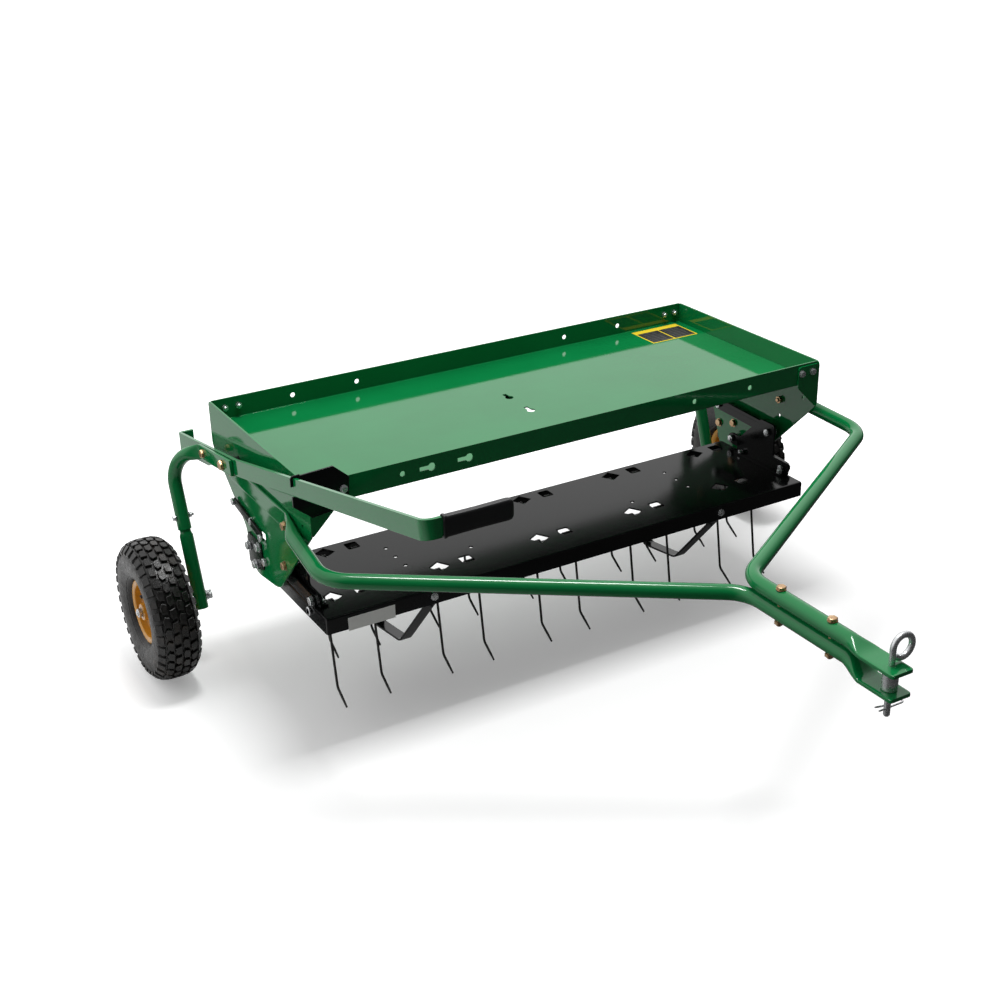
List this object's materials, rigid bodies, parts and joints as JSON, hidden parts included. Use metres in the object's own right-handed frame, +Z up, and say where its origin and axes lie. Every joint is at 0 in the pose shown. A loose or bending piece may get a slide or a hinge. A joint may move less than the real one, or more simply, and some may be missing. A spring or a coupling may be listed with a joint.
{
  "type": "lawn dethatcher",
  "caption": "Tow-behind spring-tine lawn dethatcher: weight tray on side plates, lift lever with wheels on cranked legs, tine deck on links, V drawbar with hitch pin.",
  "frame": {"origin": "on the ground under the middle of the machine's box, with the wheels down in the transport position", "axes": "+X along the tray to the right-hand wheel, -Y forward to the hitch, +Z up"},
  "size_m": [1.432, 1.338, 0.625],
  "materials": {
    "tractor_green": "glossy powder coat",
    "satin_black": "semi-gloss powder coat",
    "grip_vinyl": "dipped vinyl",
    "tyre_rubber": "matte",
    "amber_rim": "glossy paint",
    "yellow_zinc": "yellow zinc plate",
    "silver_zinc": "bright zinc plate",
    "spring_steel": "black oxide"
  },
  "bodies": {
    "frame": {"tray": "tractor_green", "end_plate_left": "tractor_green", "end_plate_right": "tractor_green", "latch_plate": "satin_black", "drawbar_left": "tractor_green", "drawbar_right": "tractor_green", "drawbar_bolt_rear": "yellow_zinc", "drawbar_bolt_front": "yellow_zinc", "hitch_spacer": "silver_zinc", "upper_frame_bolt_left": "silver_zinc", "upper_frame_bolt_right": "silver_zinc", "lower_frame_bolt_left": "silver_zinc", "lower_frame_bolt_right": "silver_zinc"},
    "lift": {"lift_handle": "tractor_green", "handle_grip": "grip_vinyl", "lift_arm_right": "tractor_green", "lift_shaft": "satin_black", "leg_upper_left": "tractor_green", "leg_upper_right": "tractor_green", "leg_lower_left": "tractor_green", "leg_lower_right": "tractor_green", "pivot_bolt_left": "yellow_zinc", "pivot_bolt_right": "yellow_zinc", "leg_clamp_bolt_left": "yellow_zinc", "leg_clamp_bolt_right": "yellow_zinc", "axle_bolt_left": "silver_zinc", "axle_bolt_right": "silver_zinc"},
    "wheel_left": {"tyre_left": "tyre_rubber", "rim_left": "amber_rim", "wheel_bushing_left": "silver_zinc"},
    "wheel_right": {"tyre_right": "tyre_rubber", "rim_right": "amber_rim", "wheel_bushing_right": "silver_zinc"},
    "upper_links": {"upper_link_left": "satin_black", "upper_link_right": "satin_black"},
    "lower_links": {"lower_link_left": "satin_black", "lower_link_right": "satin_black"},
    "deck": {"deck": "satin_black", "deck_bracket_left": "satin_black", "deck_bracket_right": "satin_black", "skid_left": "satin_black", "skid_right": "satin_black", "tine_rod_front": "silver_zinc", "tine_rod_rear": "silver_zinc", "upper_deck_bolt_left": "silver_zinc", "upper_deck_bolt_right": "silver_zinc", "lower_deck_bolt_left": "silver_zinc", "lower_deck_bolt_right": "silver_zinc"},
    "hitch_pin": {"hitch_pin": "silver_zinc", "hitch_clip": "silver_zinc"},
    "tine_1": {"tine_1": "spring_steel"},
    "tine_2": {"tine_2": "spring_steel"},
    "tine_3": {"tine_3": "spring_steel"},
    "tine_4": {"tine_4": "spring_steel"},
    "tine_5": {"tine_5": "spring_steel"},
    "tine_6": {"tine_6": "spring_steel"},
    "tine_7": {"tine_7": "spring_steel"},
    "tine_8": {"tine_8": "spring_steel"},
    "tine_9": {"tine_9": "spring_steel"},
    "tine_10": {"tine_10": "spring_steel"}
  },
  "joints": [
    {"name": "lift_pivot", "type": "hinge", "parent": "frame", "child": "lift", "pos_m": [0, 0.412, 0.427], "axis": [1, 0, 0], "range_deg": [-90, 0]},
    {"name": "wheel_left_spin", "type": "hinge", "parent": "lift", "child": "wheel_left", "pos_m": [-0.674, 0.509, 0.133], "axis": [1, 0, 0], "continuous": true},
    {"name": "wheel_right_spin", "type": "hinge", "parent": "lift", "child": "wheel_right", "pos_m": [0.674, 0.509, 0.133], "axis": [1, 0, 0], "continuous": true},
    {"name": "deck_float", "type": "hinge", "parent": "frame", "child": "upper_links", "pos_m": [0, 0.373, 0.326], "axis": [1, 0, 0], "range_deg": [0, 18]},
    {"name": "lower_link_swing", "type": "hinge", "parent": "frame", "child": "lower_links", "pos_m": [0, 0.326, 0.266], "axis": [1, 0, 0], "range_deg": [0, 18]},
    {"name": "deck_level", "type": "hinge", "parent": "upper_links", "child": "deck", "pos_m": [0, 0.208, 0.321], "axis": [1, 0, 0], "range_deg": [-18, 0]},
    {"name": "tine_1_flex", "type": "hinge", "parent": "deck", "child": "tine_1", "pos_m": [-0.44, 0.177, 0.234], "axis": [1, 0, 0], "range_deg": [-15, 35], "stiffness_Nm_per_rad": 40},
    {"name": "tine_2_flex", "type": "hinge", "parent": "deck", "child": "tine_2", "pos_m": [-0.2335, 0.177, 0.234], "axis": [1, 0, 0], "range_deg": [-15, 35], "stiffness_Nm_per_rad": 40},
    {"name": "tine_3_flex", "type": "hinge", "parent": "deck", "child": "tine_3", "pos_m": [-0.027, 0.177, 0.234], "axis": [1, 0, 0], "range_deg": [-15, 35], "stiffness_Nm_per_rad": 40},
    {"name": "tine_4_flex", "type": "hinge", "parent": "deck", "child": "tine_4", "pos_m": [0.1795, 0.177, 0.234], "axis": [1, 0, 0], "range_deg": [-15, 35], "stiffness_Nm_per_rad": 40},
    {"name": "tine_5_flex", "type": "hinge", "parent": "deck", "child": "tine_5", "pos_m": [0.386, 0.177, 0.234], "axis": [1, 0, 0], "range_deg": [-15, 35], "stiffness_Nm_per_rad": 40},
    {"name": "tine_6_flex", "type": "hinge", "parent": "deck", "child": "tine_6", "pos_m": [-0.383, 0.334, 0.234], "axis": [1, 0, 0], "range_deg": [-15, 35], "stiffness_Nm_per_rad": 40},
    {"name": "tine_7_flex", "type": "hinge", "parent": "deck", "child": "tine_7", "pos_m": [-0.1765, 0.334, 0.234], "axis": [1, 0, 0], "range_deg": [-15, 35], "stiffness_Nm_per_rad": 40},
    {"name": "tine_8_flex", "type": "hinge", "parent": "deck", "child": "tine_8", "pos_m": [0.03, 0.334, 0.234], "axis": [1, 0, 0], "range_deg": [-15, 35], "stiffness_Nm_per_rad": 40},
    {"name": "tine_9_flex", "type": "hinge", "parent": "deck", "child": "tine_9", "pos_m": [0.2365, 0.334, 0.234], "axis": [1, 0, 0], "range_deg": [-15, 35], "stiffness_Nm_per_rad": 40},
    {"name": "tine_10_flex", "type": "hinge", "parent": "deck", "child": "tine_10", "pos_m": [0.443, 0.334, 0.234], "axis": [1, 0, 0], "range_deg": [-15, 35], "stiffness_Nm_per_rad": 40},
    {"name": "hitch_pin_turn", "type": "hinge", "parent": "frame", "child": "hitch_pin", "pos_m": [0, -0.646, 0.35], "axis": [0, 0, 1], "continuous": true}
  ],
  "couplings": [
    {"joint": "lower_link_swing", "follows": "deck_float", "ratio": 1},
    {"joint": "deck_level", "follows": "deck_float", "ratio": -1}
  ]
}
